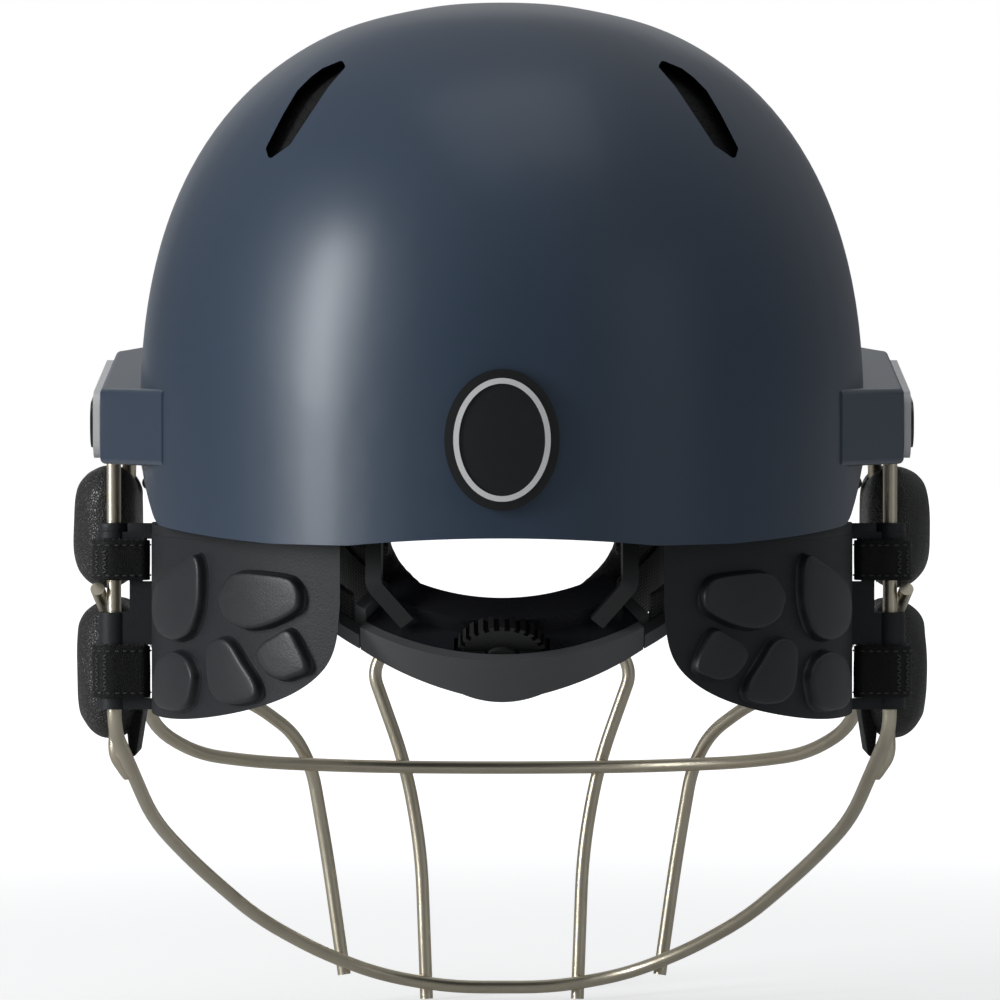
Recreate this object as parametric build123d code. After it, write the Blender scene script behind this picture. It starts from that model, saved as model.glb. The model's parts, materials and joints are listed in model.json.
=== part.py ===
from build123d import *
import math
import os

# Cricket helmet, in millimetres.
# The back of the head faces -Y, the face opening faces +Y and +Z is up.
# The origin is the middle of the head opening, level with the rear rim.

# Shell
shell_radius = 106.0            # half of the width across the temples
shell_height = 123.0            # crown above the widest level
shell_widest_z = 30.0
shell_wall = 3.2
length_ratio = 1.18             # length of the dome over its width
dome_power = 2.4                # roundness of the dome's side outline
shell_floor = 30.0              # depth of the uncut dome below the origin
overrun = 10.0                  # how far every cutter runs past the wall

# Rim, as the height of the lower edge going from the nape to the brow
rim_low = -0.9
rim_arch = 2.3                  # rise of the rear rim at the middle of the nape
rim_arch_half = 42.0
rim_side_y = -100.0             # the sides of the nape start to rise here
rim_side_rise = 3.4
rim_ear_z = 19.0
rim_brow_z = 46.0
rim_corner_y = -46.0            # the rear corner starts to climb here
rim_ear_y = -22.0               # and meets the ear edge here
rim_temple_y = 50.0             # the temple edge starts to climb here
rim_brow_y = 92.0
rim_bend = 14.0

# Peak
peak_reach = 40.0               # ahead of the dome
peak_half = 84.0
peak_root_y = 80.0
peak_wall = 3.2
peak_centre_z = 49.0
peak_side_drop = 9.0
peak_tilt = 7.0                 # degrees, downwards to the front

# Side boxes that hold the grille
box_stand = 11.0                # outside the widest part of the dome
box_outer_x = shell_radius + box_stand
box_rear_y = -15.0
box_front_y = 46.0
box_fair_rear_y = -53.0         # the slanted rear face meets the dome here
box_fair_depth = 9.5
box_fair_x = shell_radius - box_fair_depth
box_fair_front_y = 60.0
box_fair_front_depth = 3.0
box_fair_front_x = shell_radius - box_fair_front_depth
box_root_depth = 26.0
box_root_x = shell_radius - box_root_depth
box_rear_top = 41.0
box_front_top = 52.0
box_edge = 1.6                  # rounding of the outer edges
pocket_inner_x = shell_radius
pocket_rear_y = -7.0
pocket_front_y = 41.0
pocket_top = 40.5
fit_gap = 0.3                   # between pieces that only lie together
slide_fit = 0.05                # radial running clearance

# Side plates and what is under them
plate_thick = 2.0
plate_inset = 1.6
plate_top_share = 1.2           # of the inset, along the slanted top
plate_corner = 5.0
cap_thick = 1.1
cap_inset = 4.6
cap_corner = 5.5
plate_gap = 0.2
screw_radius = 2.0
screw_head_radius = 3.4
screw_head = 1.2
screw_depth = 9.0
screw_z = 32.0
screw_ys = [8.0, 20.0]

# Vents in the crown, seen square from behind
vent_x_share = 0.519            # of the shell's radius
vent_z = 120.0
vent_length = 30.0              # height that the slot covers
vent_shares = [(-0.143, 0.383), (-0.333, 0.457), (-0.375, 0.385), (-0.220, 0.190),
               (-0.077, -0.040), (0.130, -0.367), (0.330, -0.500), (0.367, -0.387),
               (0.210, -0.057), (0.087, 0.170), (-0.033, 0.297)]
vent_corner = 1.0

# Badge on the back
badge_half_width = 15.5
badge_half_height = 19.0
badge_z = 28.0
badge_thick = 1.8
badge_border = 1.5
badge_border_inset = 2.4
badge_border_rise = 0.5

# Liner and comfort pads
liner_gap = 0.4
liner_thick = 14.0
liner_rim_gap = 2.6             # liner edge above the shell rim
pad_gap = 0.3
pad_thick = 7.0
crown_pad_share = 0.434         # of the shell's radius
brow_pad_low = 52.0
brow_pad_high = 82.0
brow_pad_share = 0.585
side_pad_low = 24.0
side_pad_high = 66.0
side_pad_share = 0.377
rear_pad_low = 16.0
rear_pad_high = 52.0
rear_pad_share = 0.245

# Grille wires
wire_radius = 2.1
bar_stand = 8.2
bar_x = shell_radius + bar_stand            # the upright rear bars
bar_top_z = 37.0
bar_low_z = -60.0
bar_bend = 12.0
bend_share = 0.45               # of the shorter run, taken by a free bend
grille_reach = 160.0            # ahead of the rear bars
grille_drop = 160.0             # below the rim
chin_shares = [(0.9667, 0.0938, -0.4537), (0.9299, 0.3000, -0.5687), (0.8336, 0.5375, -0.6813),
               (0.6778, 0.7250, -0.8063), (0.5114, 0.8500, -0.8887), (0.3468, 0.9250, -0.9437),
               (0.1489, 0.9469, -0.9713)]
mid_shares = [(1.0412, -0.0156, -0.1125), (0.9422, 0.5312, -0.4156), (0.8406, 0.6625, -0.4725),
              (0.6795, 0.8250, -0.5025), (0.4063, 0.9500, -0.5212), (0.1401, 0.9969, -0.5275)]
brow_shares = [(0.9361, 0.2625, 0.0750), (0.8757, 0.5375, 0.0250), (0.7005, 0.7688, -0.0063),
               (0.4028, 0.9313, -0.0156), (0.1313, 0.9875, -0.0187)]
cheek_shares = [(0.9720, 0.1688, 0.1875), (0.9930, 0.2750, 0.0500), (0.9912, 0.4125, -0.1125),
                (0.9545, 0.5125, -0.2375), (0.8581, 0.6875, -0.3438), (0.7049, 0.8375, -0.3812),
                (0.5884, 0.8962, -0.4500), (0.5394, 0.9250, -0.5250), (0.4974, 0.9325, -0.7000),
                (0.4483, 0.9088, -0.9406)]
inner_shares = [(0.2154, 0.9613, -0.9969), (0.2312, 0.9900, -0.7000), (0.2750, 1.0019, -0.5250),
                (0.3993, 1.0050, -0.2750)]
inner_corner = 10.0

# Neck guards, which swing on the rear bars
guard_radius = 110.0
guard_edge_depth = 11.6         # plate's outer edge inside the bar
guard_centre_x = guard_radius + guard_edge_depth - bar_x
guard_centre_y = -4.0
guard_wall = 2.5
guard_top = -1.25
guard_drop = 52.2
guard_inner_x = 44.4
guard_outer_x = bar_x - guard_edge_depth - fit_gap
guard_inner_share = 0.3         # of the drop, where the inner edge ends
guard_edge_shares = [(0.008, 0.42), (0.055, 0.62), (0.150, 0.735), (0.375, 0.865),
                     (0.622, 0.945), (0.811, 0.985), (1.02, 1.0)]
clip_radius = 4.6
clip_upper_depth = 14.2
clip_lower_top = -25.0
clip_window_share = 1.05         # of the sleeve's radius
flange_front_y = -1.2
flange_thick = 2.5
slot_width = 3.0
slot_margin = 0.4
slot_offset_share = 0.35         # of the strap's thickness
pebble_rise = 3.4
pebble_edge = 1.2
pebble_shares = [
    [(0.705, 0.085), (0.666, 0.240), (0.741, 0.580), (0.925, 0.365), (0.913, 0.275),
     (0.790, 0.160)],
    [(0.513, 0.170), (0.256, 0.190), (0.172, 0.290), (0.240, 0.400), (0.412, 0.482),
     (0.497, 0.477), (0.600, 0.394), (0.600, 0.290)],
    [(0.853, 0.630), (0.753, 0.638), (0.704, 0.739), (0.736, 0.873), (0.785, 0.952),
     (0.901, 0.958), (0.939, 0.838), (0.913, 0.696)],
    [(0.645, 0.545), (0.574, 0.530), (0.518, 0.584), (0.373, 0.799), (0.419, 0.868),
     (0.528, 0.890), (0.630, 0.865), (0.656, 0.733)],
    [(0.269, 0.464), (0.211, 0.503), (0.135, 0.640), (0.172, 0.715), (0.291, 0.752),
     (0.373, 0.700), (0.428, 0.601), (0.402, 0.534)],
]

# Straps that tie the ear pads and guards round the bars
strap_thick = 1.5
strap_clearance = 0.4
strap_end_depth = 10.9          # inside the bar
strap_end_x = bar_x - strap_end_depth
strap_end_y = -2.45
strap_end_radius = 3.1
upper_strap_top = -3.7
upper_strap_bottom = -15.4
lower_strap_top = -34.8
lower_strap_bottom = -49.9

# Ear pads
ear_inner_stand = 3.6           # outside the widest part of the dome
ear_outer_stand = 21.3
lower_ear_outer_stand = 20.3
ear_inner_x = shell_radius + ear_inner_stand
ear_outer_x = shell_radius + ear_outer_stand
ear_rear_y = 9.5
ear_front_y = 60.0
upper_ear_top = 18.6
upper_ear_bottom = -20.4
lower_ear_top = -20.8
lower_ear_bottom = -65.6
lower_ear_outer_x = shell_radius + lower_ear_outer_stand
ear_corner = 12.0
ear_inner_share = 0.90
ear_crown_share = 0.62
wire_clearance = 0.35

# Fit cradle at the nape: arcs about one tilted axis
cradle_tilt = 46.0
cradle_radius = 68.0
nape_inset = 21.08              # inside the back of the shell
nape_y = nape_inset - shell_radius * length_ratio
nape_z = -34.8
plate_wall = 2.5
housing_half_angle = 35.0
housing_wall = 1.3
housing_top = 2.85
housing_depth = 18.0
step_depth = 9.5                # from the outer face to the raised inner part
step_top = 8.6
step_wall = 1.3
channel_floor = -10.0
house_end_low = -6.5
house_knee_x = 11.0
house_knee_low = -12.2
house_low = -14.6
dial_radius = 12.5
dial_thick = 4.3
dial_back = 3.9                 # dial face behind the outer face of the plate
dial_teeth = 26
dial_notch = 1.5
dial_notch_width = 1.5
pinion_teeth = 12
pinion_pitch_radius = 4.5
pinion_tip = 0.65
pinion_root = 0.95
pinion_length = 7.0
pinion_tooth_share = 0.36
pinion_foot_share = 0.75
pinion_crest_share = 0.35
axle_radius = 1.5
washer_radius = 4.5
washer_thick = 1.0
tongue_outer = 56.6
tongue_wall = 3.3
tongue_height = 3.0
tongue_tail = 17.0              # degrees past the middle
rack_teeth = 7
rack_mouth_share = 0.40         # of the tooth pitch
rack_floor_share = 0.24
overrun_angle = 1.0
arm_wall = 3.2
arm_low = -6.5
arm_drop = 3.6                  # the arm's upper edge below the housing's
arm_gap_angle = 0.35
arm_end_angle = 78.0
arm_link_angle = 3.2
neck_pad_thick = 6.2
neck_pad_low = -8.0
neck_pad_high = 17.0
neck_pad_dip = 15.4
neck_pad_dip_half = 31.0
neck_pad_dip_corner = 13.0
neck_pad_half_angle = 76.0
strut_width = 4.4
strut_thick = 2.5
strut_bend = 3.0
strut_seat = 2.6                # above the cover's ledge
strut_stand = 3.4               # middle of the strut behind the cover's wall
strut_foot_x = 26.0
strut_knee_inset = 1.4          # inside the nape plate
strut_knee_rise = 22.7          # above the nape plate
strut_x = 35.0
strut_depth = 3.0               # behind the liner's inner face
strut_gap = 0.4                 # under the liner's edge


def save(node, shape):
    """Write one sub-part to its own file."""
    export_step(shape, f"parts/{node}.step")


def save_pair(name, left_shape):
    """Write a left piece and its mirror image on the right."""
    save(f"left_{name}", left_shape)
    save(f"right_{name}", mirror(left_shape, about=Plane.YZ))


def block(x_low, x_high, y_low, y_high, z_low, z_high):
    """A box between two corners."""
    size = (x_high - x_low, y_high - y_low, z_high - z_low)
    centre = Pos((x_low + x_high) / 2, (y_low + y_high) / 2, (z_low + z_high) / 2)
    return centre * Box(*size)


def outline(points, corner):
    """A closed face with rounded corners in the XY plane."""
    return make_face(FilletPolyline(*points, radius=corner, close=True))


def bend_radii(points, tightest):
    """Radii that let each bend use most of the shorter run beside it."""
    radii = []
    for before, here, after in zip(points, points[1:], points[2:]):
        run_in = Vector(*here) - Vector(*before)
        run_out = Vector(*after) - Vector(*here)
        turn = math.radians(run_in.get_angle(run_out))
        widest = bend_share * min(run_in.length, run_out.length) / math.tan(turn / 2)
        radii.append(min(widest, tightest.get(here, widest)))
    return radii


def wire_path(points, tightest):
    """Straight runs joined by tangent arcs."""
    return FilletPolyline(*points, radius=bend_radii(points, tightest))


def round_rod(path, radius):
    """A round rod along a path."""
    start = Plane(origin=path @ 0, z_dir=path % 0)
    return sweep(start * Circle(radius), path=path)


def both_sides(left_points):
    """The points of a wire that runs from the left side to the right."""
    left = [(-x, y, z) for x, y, z in left_points]
    right = [(x, y, z) for x, y, z in reversed(left_points)]
    return left + right


# Shell. Its pieces are cut on a round dome and then stretched to the head's length.

def short(y):
    """A place along the helmet, as it lies on the round dome."""
    return y / length_ratio


def stretch(shape):
    """The finished piece at the head's real length."""
    return scale(shape, by=(1, length_ratio, 1), about=(0, 0, 0))


def dome(grow, wall=None):
    """The round dome, grown or shrunk; with a wall it is hollow and open below."""
    return revolve(dome_profile(grow, wall), Axis.Z)


def dome_side(grow):
    """The side outline of the dome, from its widest level to the crown."""
    radius = shell_radius + grow
    height = shell_height + grow
    steps = 9
    points = []
    for step in range(steps + 1):
        turn = math.pi / 2 * step / steps
        across = radius * max(math.cos(turn), 0.0) ** (2 / dome_power)
        up = height * math.sin(turn) ** (2 / dome_power)
        points.append((across, shell_widest_z + up))
    points[-1] = (0, shell_widest_z + height)
    return Spline(*points, tangents=[(0, 1), (-1, 0)])


def dome_profile(grow, wall):
    """The face that is turned into a dome."""
    radius = shell_radius + grow
    crown = shell_widest_z + shell_height + grow
    lines = [dome_side(grow), Line((radius, -shell_floor), (radius, shell_widest_z))]
    if wall is None:
        lines.append(Polyline((0, crown), (0, -shell_floor), (radius, -shell_floor)))
    else:
        within = radius - wall
        lines.append(dome_side(grow - wall))
        lines.append(Line((0, crown), (0, crown - wall)))
        lines.append(Polyline((within, shell_widest_z), (within, -shell_floor),
                              (radius, -shell_floor)))
    return Plane.XZ * make_face(lines)


def rim_cut(lift):
    """Everything below the lower edge of the shell, lifted for the liner."""
    half = shell_radius + overrun
    back = -shell_radius - overrun
    front = -back
    low_z = rim_low + lift
    ear_z = rim_ear_z + lift
    brow_z = rim_brow_z + lift
    below = -shell_floor - overrun
    points = [(back, below), (back, low_z), (short(rim_side_y), low_z),
              (short(rim_corner_y), low_z + rim_side_rise), (short(rim_ear_y), ear_z), (short(rim_temple_y), ear_z),
              (short(rim_brow_y), brow_z), (front, brow_z), (front, below)]
    bends = [0, 0, rim_bend, rim_bend, rim_bend, rim_bend, rim_bend, 0, 0]
    edge = FilletPolyline(*points, radius=bends, close=True)
    low = extrude(Plane.YZ * make_face(edge), half, both=True)
    arch_line = ThreePointArc((-rim_arch_half, rim_low + lift),
                              (0, rim_low + rim_arch + lift),
                              (rim_arch_half, rim_low + lift))
    arch_close = Line((rim_arch_half, rim_low + lift), (-rim_arch_half, rim_low + lift))
    arch_face = Plane.XZ * make_face([arch_line, arch_close])
    return [low, extrude(arch_face, -back)]


def side_box():
    """The left box on the temple, without its pocket."""
    plan = Plane.XY * make_face(Polyline(
        (-box_fair_x, short(box_fair_rear_y)), (-box_outer_x, short(box_rear_y)),
        (-box_outer_x, short(box_front_y)), (-box_fair_front_x, short(box_fair_front_y)),
        (-box_root_x, short(box_fair_front_y)), (-box_root_x, short(box_fair_rear_y)),
        close=True))
    column = extrude(plan, box_front_top + overrun)
    climb = (box_front_top - box_rear_top) / (box_front_y - box_rear_y)
    far_top = box_front_top + climb * (box_fair_front_y - box_front_y)
    side = Plane.YZ * make_face(Polyline(
        (short(box_fair_rear_y), rim_ear_z), (short(box_fair_front_y), rim_ear_z),
        (short(box_fair_front_y), far_top), (short(box_rear_y), box_rear_top),
        (short(box_fair_rear_y), box_rear_top), close=True))
    slab = extrude(side, -box_outer_x - overrun)
    box = column & slab
    outer = box.edges().filter_by(lambda edge: (edge @ 0.5).X < -box_fair_front_x)
    return fillet(outer, box_edge) - dome(-shell_wall / 2)


def box_pocket():
    """The room in the left box for the clamp block, open below and outside."""
    return block(-box_outer_x - overrun, -pocket_inner_x, short(pocket_rear_y),
                 short(pocket_front_y), rim_ear_z - overrun, pocket_top)


def peak():
    """The peak, which stands out of the brow."""
    tip = short(shell_radius * length_ratio + peak_reach)
    root_y = short(peak_root_y)
    front = ThreePointArc((-peak_half, root_y), (0, tip), (peak_half, root_y))
    back = Line((peak_half, root_y), (-peak_half, root_y))
    column = extrude(make_face([front, back]), peak_centre_z + overrun)
    wide = shell_radius
    drop = peak_side_drop * (wide / peak_half) ** 2
    top = ThreePointArc((-wide, -drop), (0, 0), (wide, -drop))
    low = ThreePointArc((wide, -drop - peak_wall), (0, -peak_wall), (-wide, -drop - peak_wall))
    ends = [Line((wide, -drop), (wide, -drop - peak_wall)),
            Line((-wide, -drop - peak_wall), (-wide, -drop))]
    sheet_face = Plane.XZ * make_face([top, low] + ends)
    sheet = extrude(sheet_face, tip, both=True)
    sheet = Pos(0, shell_radius, peak_centre_z) * Rot(-peak_tilt, 0, 0) * sheet
    return (column & sheet) - dome(-shell_wall / 2)


def vent():
    """The left vent slot, cut straight through the rear of the crown."""
    points = [(-vent_x_share * shell_radius - sx * vent_length, vent_z + sz * vent_length)
              for sx, sz in vent_shares]
    face = Plane.XZ * outline(points, vent_corner)
    return extrude(face, shell_radius + overrun)


def shell():
    """Dome, peak and side boxes as one moulding."""
    body = dome(0, shell_wall) - rim_cut(0)
    left_box = side_box() - box_pocket()
    slot = vent()
    body = body - [slot, mirror(slot, about=Plane.YZ)]
    body = body + [left_box, mirror(left_box, about=Plane.YZ), peak()]
    return stretch(body)


def badge():
    """A plain oval badge that follows the back of the dome."""
    face = Plane.XZ * Pos(0, badge_z) * Ellipse(badge_half_width, badge_half_height)
    column = extrude(face, shell_radius + overrun)
    return stretch(dome(badge_thick, badge_thick) & column)


def badge_ring():
    """The raised border line of the badge."""
    outer = Ellipse(badge_half_width - badge_border_inset,
                    badge_half_height - badge_border_inset)
    inner = Ellipse(badge_half_width - badge_border_inset - badge_border,
                    badge_half_height - badge_border_inset - badge_border)
    face = Plane.XZ * Pos(0, badge_z) * (outer - inner)
    column = extrude(face, shell_radius + overrun)
    rise = badge_border_rise
    return stretch(dome(badge_thick + rise, rise) & column)


# Liner and pads

def liner():
    """The foam dome inside the shell."""
    outside = -shell_wall - liner_gap
    return stretch(dome(outside, liner_thick) - rim_cut(liner_rim_gap))


def comfort_layer():
    """The layer from which the comfort pads are cut."""
    outside = -shell_wall - liner_gap - liner_thick - pad_gap
    return dome(outside, pad_thick)


def comfort_pads():
    """Cushions inside the liner, each with rounded corners."""
    layer = comfort_layer()
    reach = shell_radius
    top = shell_widest_z + shell_height
    corner = pad_thick
    brow_face = Plane.XZ * Pos(0, (brow_pad_low + brow_pad_high) / 2) * RectangleRounded(
        brow_pad_share * reach * 2, brow_pad_high - brow_pad_low, corner)
    rear_face = Plane.XZ * Pos(0, (rear_pad_low + rear_pad_high) / 2) * RectangleRounded(
        rear_pad_share * reach * 2, rear_pad_high - rear_pad_low, corner)
    side_face = Plane.YZ * Pos(0, (side_pad_low + side_pad_high) / 2) * RectangleRounded(
        short(side_pad_share * reach * 2), side_pad_high - side_pad_low, corner)
    crown_face = Plane.XY.offset(shell_widest_z + side_pad_high) * Circle(crown_pad_share * reach)
    save("crown_pad", stretch(layer & extrude(crown_face, top)))
    save("brow_pad", stretch(layer & extrude(brow_face, -reach)))
    save("rear_pad", stretch(layer & extrude(rear_face, reach)))
    save_pair("temple_pad", stretch(layer & extrude(side_face, -reach)))


# Side plates and clamps

def plate_outline(inset, corner):
    """The side plate's outline on the box, in the YZ plane."""
    climb = (box_front_top - box_rear_top) / (box_front_y - box_rear_y)
    low = rim_ear_z + inset
    back = box_rear_y + inset
    front = box_front_y - inset
    return outline([(back, low), (front, low),
                    (front, box_front_top - inset * plate_top_share),
                    (back, box_rear_top - inset * (plate_top_share - climb))], corner)


def left_plate_inner():
    """X of the side plate's inner face."""
    return -box_outer_x - plate_gap


def screw_places():
    """Y and Z of the plate screws."""
    return [(y, screw_z) for y in screw_ys]


def screw_hole(radius, x_outer, depth, place):
    """A round hole along X that starts at an outer face."""
    start = Plane(origin=(x_outer, place[0], place[1]), z_dir=(1, 0, 0))
    return extrude(start * Circle(radius), depth)


def side_plate():
    """The left cover plate over the clamp."""
    inner = left_plate_inner()
    body = extrude(Plane.YZ.offset(inner) * plate_outline(plate_inset, plate_corner),
                   -plate_thick)
    for place in screw_places():
        body -= screw_hole(screw_radius + slide_fit * 2, inner - plate_thick - overrun,
                           overrun * 2 + plate_thick, place)
        body -= screw_hole(screw_head_radius + slide_fit * 2, inner - plate_thick,
                           screw_head + slide_fit, place)
    return body


def plate_cap():
    """The dark cap on the left plate, over the screws."""
    face = Plane.YZ.offset(left_plate_inner() - plate_thick)
    return extrude(face * plate_outline(cap_inset, cap_corner), -cap_thick)


def plate_screws():
    """All four plate screws, as separate solids."""
    outer = left_plate_inner() - plate_thick + slide_fit
    screws = []
    for place in screw_places():
        shank = screw_hole(screw_radius, outer, plate_thick + screw_depth, place)
        head = screw_hole(screw_head_radius, outer, screw_head - slide_fit, place)
        screws.append(shank + head)
    right = [mirror(screw, about=Plane.YZ) for screw in screws]
    return Compound(children=[item.solid() for item in screws + right])


def clamp_block(rear_rod, cheek_rod):
    """The left block that holds the wire ends in the pocket."""
    body = block(-box_outer_x + fit_gap, -pocket_inner_x - fit_gap,
                 pocket_rear_y + fit_gap, pocket_front_y - fit_gap,
                 rim_ear_z + fit_gap, pocket_top - fit_gap)
    for place in screw_places():
        body -= screw_hole(screw_radius + slide_fit, -box_outer_x - overrun,
                           overrun + plate_thick + screw_depth, place)
    return body - rear_rod - cheek_rod


# Grille

def grille_points(shares):
    """Places along the right half of a grille wire."""
    return [(x * bar_x, y * grille_reach, z * grille_drop) for x, y, z in shares]


def chin_wire_path():
    """The perimeter wire: up both rear bars and round under the chin."""
    points = [(bar_x, 0, bar_top_z), (bar_x, 0, bar_low_z)] + grille_points(chin_shares)
    corner = {(-bar_x, 0, bar_low_z): bar_bend, (bar_x, 0, bar_low_z): bar_bend}
    return wire_path(both_sides(points), corner)


def inner_wire_path():
    """The inner wire: an arch with its two ends on the chin wire."""
    places = grille_points(inner_shares)
    top = places[-1]
    corner = {(-top[0], top[1], top[2]): inner_corner, top: inner_corner}
    return wire_path(both_sides(places), corner)


def cheek_wire_path():
    """The left cheek wire: out of the clamp, forward and down to the chin."""
    return wire_path([(-x, y, z) for x, y, z in grille_points(cheek_shares)], {})


# Neck guards

def guard_ring(inner, outer, low, high):
    """A full ring about the left guard's own upright axis."""
    ring = Circle(outer) - Circle(inner)
    centre = Plane(origin=(guard_centre_x, guard_centre_y, low), z_dir=(0, 0, 1))
    return extrude(centre * ring, high - low)


def guard_point(share):
    """A place on the left guard as seen from behind."""
    across = guard_inner_x + share[0] * (guard_outer_x - guard_inner_x)
    return (-across, guard_top - share[1] * guard_drop)


def guard_turn(x):
    """The turn about the guard's axis at which its face lies at x."""
    return math.acos((guard_centre_x - x) / guard_radius)


def guard_column():
    """The guard's outline, run straight through from behind."""
    top_inner = (-guard_inner_x, guard_top)
    points = [guard_point(share) for share in guard_edge_shares]
    low_edge = Spline((-guard_inner_x, guard_top - guard_drop * guard_inner_share), *points)
    last = points[-1]
    sides = [Line(top_inner, (-guard_inner_x, guard_top - guard_drop * guard_inner_share)),
             Polyline(last, (last[0], guard_top), top_inner)]
    face = Plane.XZ * make_face([low_edge] + sides)
    return extrude(face, guard_radius * 2)


def guard_plate():
    """The curved plate of the left guard."""
    ring = guard_ring(guard_radius - guard_wall, guard_radius,
                      guard_top - guard_drop, guard_top)
    rear = block(-guard_radius * 2, -guard_inner_x, -guard_radius * 2,
                 flange_front_y - slot_margin, guard_top - guard_drop, guard_top)
    return ring & guard_column() & rear


def clip_tube(top, bottom):
    """A sleeve round the left rear bar, without its bore."""
    start = Plane(origin=(-bar_x, 0, bottom), z_dir=(0, 0, 1))
    return extrude(start * Circle(clip_radius), top - bottom)


def strap_slot(top, bottom):
    """The slot in the left flange for one strap."""
    right = -strap_end_x + strap_thick * slot_offset_share
    return block(right - slot_width, right, flange_front_y - flange_thick - overrun,
                 flange_front_y + overrun, bottom - slot_margin, top + slot_margin)


def guard():
    """The left neck guard: plate, flange and the two sleeves."""
    low = guard_top - guard_drop
    edge_x = guard_centre_x - math.sqrt(
        guard_radius ** 2 - (flange_front_y - flange_thick / 2 - guard_centre_y) ** 2)
    flange = block(-bar_x, edge_x + guard_wall, flange_front_y - flange_thick, flange_front_y,
                   low, guard_top)
    body = guard_plate() + flange
    body += clip_tube(guard_top, guard_top - clip_upper_depth)
    body += clip_tube(clip_lower_top, low)
    window = block(-bar_x - overrun, -bar_x + clip_radius * clip_window_share,
                   flange_front_y - flange_thick - overrun, flange_front_y + overrun,
                   clip_lower_top, guard_top - clip_upper_depth)
    body -= window
    bore = Plane(origin=(-bar_x, 0, low - overrun), z_dir=(0, 0, 1))
    body -= extrude(bore * Circle(wire_radius + slide_fit), guard_drop + 2 * overrun)
    body -= strap_slot(upper_strap_top, upper_strap_bottom)
    body -= strap_slot(lower_strap_top, lower_strap_bottom)
    return body


def pebbles():
    """The five raised cushions on the left guard."""
    shell_part = guard_ring(guard_radius, guard_radius + pebble_rise,
                            guard_top - guard_drop, guard_top)
    far = guard_radius + pebble_rise
    solids = []
    for shares in pebble_shares:
        places = [guard_point(share) for share in shares]
        turns = [guard_turn(x) for x, z in places]
        facing = (min(turns) + max(turns)) / 2
        points = [(guard_radius * math.sin(turn - facing), z)
                  for turn, (x, z) in zip(turns, places)]
        out = Plane(origin=(guard_centre_x, guard_centre_y, 0),
                    x_dir=(math.sin(facing), -math.cos(facing), 0),
                    z_dir=(-math.cos(facing), -math.sin(facing), 0))
        edge = Spline(*points, periodic=True)
        column = extrude(out * make_face(edge), far + overrun)
        solid = (shell_part & column).solid()
        top_edges = [edge for edge in solid.edges()
                     if math.hypot((edge @ 0.5).X - guard_centre_x,
                                   (edge @ 0.5).Y - guard_centre_y) > far - pebble_edge / 2]
        solids.append(fillet(top_edges, pebble_edge).solid())
    return Compound(children=solids)


def strap(top, bottom):
    """A leather loop round the left bar, its sleeve and the flange."""
    def loop_face(extra):
        around = Pos(-bar_x, 0) * Circle(clip_radius + strap_clearance + extra)
        end_x = -strap_end_x - strap_end_radius
        at_end = Pos(end_x, strap_end_y) * Circle(strap_end_radius - strap_thick + extra)
        return make_hull((around + at_end).edges())
    ring = loop_face(strap_thick) - loop_face(0)
    return extrude(Plane.XY.offset(bottom) * ring, top - bottom)


# Ear pads

def ear_pad(top, bottom, outer_x, rods):
    """A left leather pad that closes round the wires it meets."""
    middle = ((ear_rear_y + ear_front_y) / 2, (top + bottom) / 2)
    size = (ear_front_y - ear_rear_y, top - bottom)

    def section(x, share):
        face = Pos(*middle) * RectangleRounded(size[0] * share, size[1] * share,
                                               ear_corner * share)
        return Plane.YZ.offset(-x) * face
    half_x = (ear_inner_x + outer_x) / 2
    pad = loft([section(ear_inner_x, ear_inner_share), section(half_x, 1.0),
                section(outer_x, ear_crown_share)])
    for rod in rods:
        pad = pad - rod
    return pad


# Cradle

def cradle_frame():
    """The cradle's own frame: its Z is the arc axis, -Y points at the nape."""
    lean = math.radians(cradle_tilt)
    centre = (0, nape_y + cradle_radius * math.cos(lean),
              nape_z + cradle_radius * math.sin(lean))
    return Plane(origin=centre, x_dir=(1, 0, 0), z_dir=(0, -math.sin(lean), math.cos(lean)))


def place_cradle(shape):
    """Move a shape from the cradle's frame to the helmet."""
    return cradle_frame().location * shape


def arc_bar(inner, outer, low, high, start, end):
    """A bar on an arc; angles run from the nape towards the right."""
    middle = Pos((inner + outer) / 2, (low + high) / 2)
    face = Plane.XZ * middle * Rectangle(outer - inner, high - low)
    bar = revolve(face, Axis.Z, revolution_arc=end - start)
    return Rot(0, 0, start - 90) * bar


def housing_column(lift, top):
    """The rear plate's outline in the cradle's frame, run through along Y."""
    end_x = cradle_radius
    slope = (house_end_low - house_knee_low) / (
        cradle_radius * math.sin(math.radians(housing_half_angle)) - house_knee_x)
    end_low = house_knee_low + slope * (end_x - house_knee_x)
    belly = ThreePointArc((-house_knee_x, house_knee_low + lift), (0, house_low + lift),
                          (house_knee_x, house_knee_low + lift))
    rest = Polyline((house_knee_x, house_knee_low + lift), (end_x, end_low + lift),
                    (end_x, top), (-end_x, top), (-end_x, end_low + lift),
                    (-house_knee_x, house_knee_low + lift))
    return extrude(Plane.XZ * make_face([belly, rest]), cradle_radius + overrun)


def housing():
    """The grey housing: rear plate, floor and inner wall."""
    half = housing_half_angle
    back = cradle_radius - housing_depth
    step = cradle_radius - step_depth
    low = house_low - overrun
    body = arc_bar(step - step_wall, cradle_radius, low, housing_top, -half, half)
    body &= housing_column(0, housing_top)
    body += arc_bar(back, step, channel_floor, housing_top, -half, half)
    past = half + overrun_angle
    room = arc_bar(step, cradle_radius - plate_wall, low, step_top, -past, past)
    room &= housing_column(housing_wall, step_top)
    body -= room
    channel = arc_bar(back + housing_wall, step + slide_fit, channel_floor + housing_wall,
                      step_top, -past, past)
    return body - channel


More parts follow.
